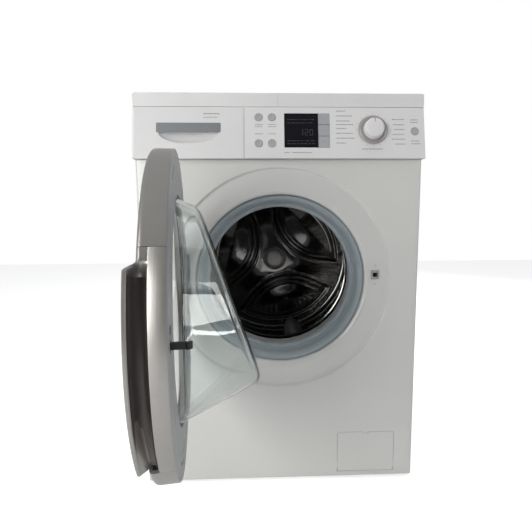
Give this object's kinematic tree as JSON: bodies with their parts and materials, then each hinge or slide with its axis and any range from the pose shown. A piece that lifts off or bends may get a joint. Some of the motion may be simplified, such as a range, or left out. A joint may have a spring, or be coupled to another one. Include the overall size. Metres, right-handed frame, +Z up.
{
  "type": "front load washing machine",
  "caption": "Front loading washing machine with a round glass door, detergent drawer, slanted control panel, suspended tub and belt driven drum.",
  "frame": {"origin": "floor level, at the centre of the floor area the machine covers with its door open as modelled", "axes": "+Z up, +X to the right seen from the front, -Y out of the front with the door"},
  "size_m": [0.598, 1.0377, 0.848],
  "materials": {
    "white_enamel": "glossy white enamel",
    "worktop_laminate": "white laminated board",
    "fascia_plastic": "satin white moulding",
    "silver_paint": "silver metallic paint",
    "grey_plastic": "fine textured grey",
    "key_grey": "satin grey",
    "black_plastic": "matt black",
    "display_black": "polished black",
    "bowl_glass": "clear polished",
    "gasket_rubber": "smooth blue grey",
    "belt_rubber": "ribbed black",
    "stainless_steel": "polished stainless",
    "bright_steel": "machined",
    "cast_aluminium": "as cast",
    "zinc_plate": "zinc plated",
    "tub_plastic": "mineral filled moulding",
    "lifter_plastic": "satin light grey",
    "concrete": "cast, unpainted",
    "motor_paint": "satin dark grey",
    "pump_plastic": "natural moulding",
    "foot_steel": "matt black"
  },
  "bodies": {
    "cabinet": {"front_panel": "white_enamel", "side_panel_left": "white_enamel", "side_panel_right": "white_enamel", "rear_panel": "white_enamel", "rear_cover": "white_enamel", "base_plate": "zinc_plate", "worktop": "worktop_laminate", "control_fascia": "fascia_plastic", "display_lens": "display_black", "dispenser_housing": "tub_plastic", "inlet_valve": "pump_plastic", "door_lock": "grey_plastic", "drain_pump": "pump_plastic", "hinge_bracket": "zinc_plate", "damper_cylinder_left": "grey_plastic", "damper_cylinder_right": "grey_plastic", "gasket": "gasket_rubber", "spring_left": "bright_steel", "spring_right": "bright_steel", "sump_hose": "belt_rubber"},
    "tub": {"tub_front": "tub_plastic", "tub_rear": "tub_plastic", "counterweight_front": "concrete", "counterweight_top": "concrete", "motor": "motor_paint", "heater": "bright_steel", "drum_bearing": "bright_steel", "belt": "belt_rubber", "damper_rod_left": "bright_steel", "damper_rod_right": "bright_steel"},
    "drum": {"drum_shell": "stainless_steel", "drum_spider": "cast_aluminium", "drum_pulley": "cast_aluminium", "drum_lifter_1": "lifter_plastic", "drum_lifter_2": "lifter_plastic", "drum_lifter_3": "lifter_plastic"},
    "motor_rotor": {"motor_rotor": "bright_steel"},
    "door": {"door_ring": "silver_paint", "door_inner_frame": "grey_plastic", "door_glass": "bowl_glass", "door_handle": "silver_paint", "hinge_arm": "zinc_plate"},
    "latch_hook": {"latch_hook": "black_plastic"},
    "drawer": {"drawer_front": "fascia_plastic", "drawer_tray": "grey_plastic"},
    "service_flap": {"service_flap": "white_enamel"},
    "filter_cap": {"filter_cap": "grey_plastic"},
    "program_knob": {"program_knob": "fascia_plastic"},
    "option_button_upper_left": {"option_button_upper_left": "key_grey"},
    "option_button_upper_right": {"option_button_upper_right": "key_grey"},
    "option_button_lower_left": {"option_button_lower_left": "key_grey"},
    "option_button_lower_right": {"option_button_lower_right": "key_grey"},
    "start_button": {"start_button": "key_grey"},
    "display_key_upper": {"display_key_upper": "key_grey"},
    "display_key_middle": {"display_key_middle": "key_grey"},
    "display_key_lower": {"display_key_lower": "key_grey"},
    "foot_front_left": {"foot_front_left": "foot_steel"},
    "foot_front_right": {"foot_front_right": "foot_steel"},
    "foot_rear_left": {"foot_rear_left": "foot_steel"},
    "foot_rear_right": {"foot_rear_right": "foot_steel"}
  },
  "joints": [
    {"name": "door_hinge", "type": "hinge", "parent": "cabinet", "child": "door", "pos_m": [-0.2187, -0.0679, 0.461], "axis": [0, 0, -1], "range_deg": [-81.3, 83]},
    {"name": "latch_spring", "type": "hinge", "parent": "door", "child": "latch_hook", "pos_m": [-0.13575, -0.48435, 0.47], "axis": [0, 0, 1], "range_deg": [0, 4], "stiffness_Nm_per_rad": 0.3},
    {"name": "tub_bounce", "type": "slide", "parent": "cabinet", "child": "tub", "axis": [0, 0, 1], "range_m": [-0.01, 0.01], "stiffness_N_per_m": 12000, "springref_m": 0.0282, "deforming": ["spring_left", "spring_right", "gasket", "sump_hose"]},
    {"name": "drum_spin", "type": "hinge", "parent": "tub", "child": "drum", "pos_m": [0, -0.0489, 0.461], "axis": [0, 1, 0], "continuous": true},
    {"name": "motor_spin", "type": "hinge", "parent": "tub", "child": "motor_rotor", "pos_m": [0.125, -0.0489, 0.137], "axis": [0, 1, 0], "continuous": true},
    {"name": "drawer_slide", "type": "slide", "parent": "cabinet", "child": "drawer", "axis": [0, -1, 0], "range_m": [0, 0.17]},
    {"name": "knob_turn", "type": "hinge", "parent": "cabinet", "child": "program_knob", "pos_m": [0.1912, -0.05445, 0.77343], "axis": [0, -0.9839, 0.1788], "continuous": true},
    {"name": "flap_hinge", "type": "hinge", "parent": "cabinet", "child": "service_flap", "pos_m": [0.1915, -0.0477, 0.02], "axis": [1, 0, 0], "range_deg": [0, 85]},
    {"name": "filter_turn", "type": "hinge", "parent": "cabinet", "child": "filter_cap", "pos_m": [0.191, -0.0189, 0.066], "axis": [0, -1, 0], "range_deg": [0, 100]},
    {"name": "option_button_upper_left_press", "type": "slide", "parent": "cabinet", "child": "option_button_upper_left", "axis": [0, 0.9839, -0.1788], "range_m": [0, 0.001], "stiffness_N_per_m": 600},
    {"name": "option_button_upper_right_press", "type": "slide", "parent": "cabinet", "child": "option_button_upper_right", "axis": [0, 0.9839, -0.1788], "range_m": [0, 0.001], "stiffness_N_per_m": 600},
    {"name": "option_button_lower_left_press", "type": "slide", "parent": "cabinet", "child": "option_button_lower_left", "axis": [0, 0.9839, -0.1788], "range_m": [0, 0.001], "stiffness_N_per_m": 600},
    {"name": "option_button_lower_right_press", "type": "slide", "parent": "cabinet", "child": "option_button_lower_right", "axis": [0, 0.9839, -0.1788], "range_m": [0, 0.001], "stiffness_N_per_m": 600},
    {"name": "start_button_press", "type": "slide", "parent": "cabinet", "child": "start_button", "axis": [0, 0.9839, -0.1788], "range_m": [0, 0.001], "stiffness_N_per_m": 600},
    {"name": "display_key_upper_press", "type": "slide", "parent": "cabinet", "child": "display_key_upper", "axis": [0, 0.9839, -0.1788], "range_m": [0, 0.0006], "stiffness_N_per_m": 800},
    {"name": "display_key_middle_press", "type": "slide", "parent": "cabinet", "child": "display_key_middle", "axis": [0, 0.9839, -0.1788], "range_m": [0, 0.0006], "stiffness_N_per_m": 800},
    {"name": "display_key_lower_press", "type": "slide", "parent": "cabinet", "child": "display_key_lower", "axis": [0, 0.9839, -0.1788], "range_m": [0, 0.0006], "stiffness_N_per_m": 800},
    {"name": "foot_front_left_screw", "type": "slide", "parent": "cabinet", "child": "foot_front_left", "axis": [0, 0, -1], "range_m": [0, 0.012]},
    {"name": "foot_front_right_screw", "type": "slide", "parent": "cabinet", "child": "foot_front_right", "axis": [0, 0, -1], "range_m": [0, 0.012]},
    {"name": "foot_rear_left_screw", "type": "slide", "parent": "cabinet", "child": "foot_rear_left", "axis": [0, 0, -1], "range_m": [0, 0.012]},
    {"name": "foot_rear_right_screw", "type": "slide", "parent": "cabinet", "child": "foot_rear_right", "axis": [0, 0, -1], "range_m": [0, 0.012]}
  ],
  "couplings": [
    {"joint": "motor_spin", "follows": "drum_spin", "ratio": 11.28}
  ]
}
